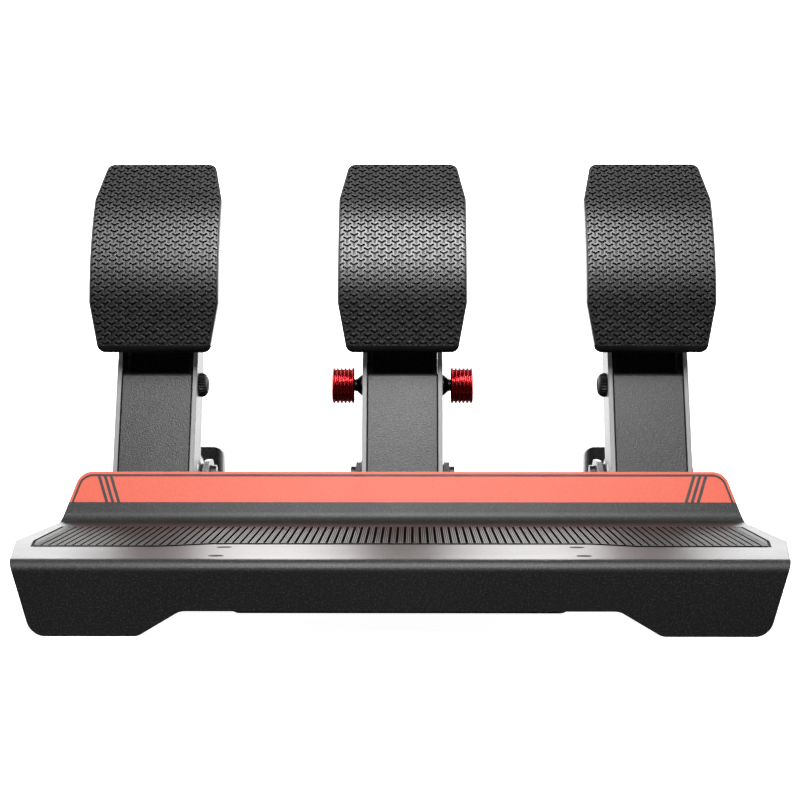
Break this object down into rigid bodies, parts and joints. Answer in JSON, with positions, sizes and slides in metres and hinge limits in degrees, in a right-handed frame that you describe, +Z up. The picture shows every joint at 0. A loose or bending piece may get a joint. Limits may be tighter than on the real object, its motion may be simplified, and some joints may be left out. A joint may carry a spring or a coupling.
{
  "type": "sim racing pedal set",
  "caption": "Floor pedal set for driving games: ribbed heel plate with a toe stop, sprung clutch and throttle, elastomer brake with hand knobs, on a deck with rig slots.",
  "frame": {"origin": "on the floor, under the middle of the base", "axes": "+X to the throttle's side, +Y away from the driver, +Z up"},
  "size_m": [0.3816, 0.39, 0.238],
  "materials": {
    "powder_coat": "fine-grained black powder coat on sheet steel",
    "mat_rubber": "matt ribbed rubber",
    "tread_rubber": "satin black tread with small three-pointed recesses",
    "foot_rubber": "matt black rubber",
    "elastomer": "satin polyurethane",
    "black_screw": "black oxide steel",
    "zinc_steel": "bright zinc plate",
    "spring_steel": "drawn spring wire",
    "red_anodised": "red anodised, turned",
    "nylon": "natural nylon",
    "moulding": "fine textured moulding",
    "circuit_board": "solder mask",
    "socket_shell": "plated sheet",
    "cell_alloy": "milled aluminium"
  },
  "bodies": {
    "base": {"heel_plate": "powder_coat", "heel_mat": "mat_rubber", "mount_tray": "powder_coat", "heel_screws": "black_screw", "deck": "powder_coat", "feet": "foot_rubber", "frame_bolts": "black_screw", "side_screws": "black_screw", "stop_bumpers": "foot_rubber", "pivot_bushes": "nylon", "rod_guides": "nylon", "control_box": "moulding", "control_lid": "moulding", "control_board": "circuit_board", "sockets": "socket_shell", "clutch_frame": "powder_coat", "brake_frame": "powder_coat", "throttle_frame": "powder_coat", "clutch_tower": "powder_coat", "brake_tower": "powder_coat", "throttle_tower": "powder_coat", "clutch_spring": "spring_steel", "brake_elastomer": "elastomer", "throttle_spring": "spring_steel", "clutch_sensor": "moulding", "brake_load_cell": "cell_alloy", "throttle_sensor": "moulding"},
    "clutch_arm": {"clutch_arm": "powder_coat", "clutch_axle": "zinc_steel", "clutch_rod_pin": "zinc_steel", "clutch_clamp_bolt": "black_screw"},
    "clutch_pad": {"clutch_pad_bracket": "powder_coat", "clutch_pad_plate": "powder_coat", "clutch_pad_tread": "tread_rubber"},
    "clutch_rod": {"clutch_push_rod": "zinc_steel", "clutch_preload_nut": "red_anodised", "clutch_stop_nut": "black_screw"},
    "brake_arm": {"brake_arm": "powder_coat", "brake_axle": "zinc_steel", "brake_rod_pin": "zinc_steel", "brake_clamp_stud": "black_screw"},
    "brake_pad": {"brake_pad_bracket": "powder_coat", "brake_pad_plate": "powder_coat", "brake_pad_tread": "tread_rubber"},
    "brake_rod": {"brake_push_rod": "zinc_steel", "brake_preload_nut": "red_anodised", "brake_stop_nut": "black_screw"},
    "throttle_arm": {"throttle_arm": "powder_coat", "throttle_axle": "zinc_steel", "throttle_rod_pin": "zinc_steel", "throttle_clamp_bolt": "black_screw"},
    "throttle_pad": {"throttle_pad_bracket": "powder_coat", "throttle_pad_plate": "powder_coat", "throttle_pad_tread": "tread_rubber"},
    "throttle_rod": {"throttle_push_rod": "zinc_steel", "throttle_preload_nut": "red_anodised", "throttle_stop_nut": "black_screw"},
    "brake_knob_left": {"brake_knob_left": "red_anodised"},
    "brake_knob_right": {"brake_knob_right": "red_anodised"}
  },
  "joints": [
    {"name": "clutch_pedal", "type": "hinge", "parent": "base", "child": "clutch_arm", "pos_m": [-0.14, 0.0135, 0.0312], "axis": [-1, 0, 0], "range_deg": [0, 18], "stiffness_Nm_per_rad": 8, "springref_deg": -14.32, "deforming": ["clutch_spring"]},
    {"name": "clutch_rod_swing", "type": "hinge", "parent": "clutch_arm", "child": "clutch_rod", "pos_m": [-0.14, 0.0266, 0.06055], "axis": [-1, 0, 0], "range_deg": [-21.49, 1]},
    {"name": "clutch_pad_tilt", "type": "hinge", "parent": "clutch_arm", "child": "clutch_pad", "pos_m": [-0.14, 0.03698, 0.1093], "axis": [-1, 0, 0], "range_deg": [-8, 8]},
    {"name": "brake_pedal", "type": "hinge", "parent": "base", "child": "brake_arm", "pos_m": [0, 0.0135, 0.0312], "axis": [-1, 0, 0], "range_deg": [0, 9], "stiffness_Nm_per_rad": 120, "springref_deg": -2.29, "deforming": ["brake_elastomer"]},
    {"name": "brake_rod_swing", "type": "hinge", "parent": "brake_arm", "child": "brake_rod", "pos_m": [0, 0.0266, 0.06055], "axis": [-1, 0, 0], "range_deg": [-11.22, 1]},
    {"name": "brake_pad_tilt", "type": "hinge", "parent": "brake_arm", "child": "brake_pad", "pos_m": [0, 0.03698, 0.1093], "axis": [-1, 0, 0], "range_deg": [-8, 8]},
    {"name": "throttle_pedal", "type": "hinge", "parent": "base", "child": "throttle_arm", "pos_m": [0.14, 0.0135, 0.0312], "axis": [-1, 0, 0], "range_deg": [0, 18], "stiffness_Nm_per_rad": 8, "springref_deg": -14.32, "deforming": ["throttle_spring"]},
    {"name": "throttle_rod_swing", "type": "hinge", "parent": "throttle_arm", "child": "throttle_rod", "pos_m": [0.14, 0.0266, 0.06055], "axis": [-1, 0, 0], "range_deg": [-21.49, 1]},
    {"name": "throttle_pad_tilt", "type": "hinge", "parent": "throttle_arm", "child": "throttle_pad", "pos_m": [0.14, 0.03698, 0.1093], "axis": [-1, 0, 0], "range_deg": [-8, 8]},
    {"name": "brake_knob_left_turn", "type": "hinge", "parent": "brake_arm", "child": "brake_knob_left", "pos_m": [-0.034, 0.03698, 0.1093], "axis": [-1, 0, 0], "continuous": true},
    {"name": "brake_knob_right_turn", "type": "hinge", "parent": "brake_arm", "child": "brake_knob_right", "pos_m": [0.034, 0.03698, 0.1093], "axis": [1, 0, 0], "continuous": true}
  ],
  "couplings": [
    {"joint": "clutch_rod_swing", "follows": "clutch_pedal", "ratio": -1.1381},
    {"joint": "brake_rod_swing", "follows": "brake_pedal", "ratio": -1.1356},
    {"joint": "throttle_rod_swing", "follows": "throttle_pedal", "ratio": -1.1381}
  ]
}
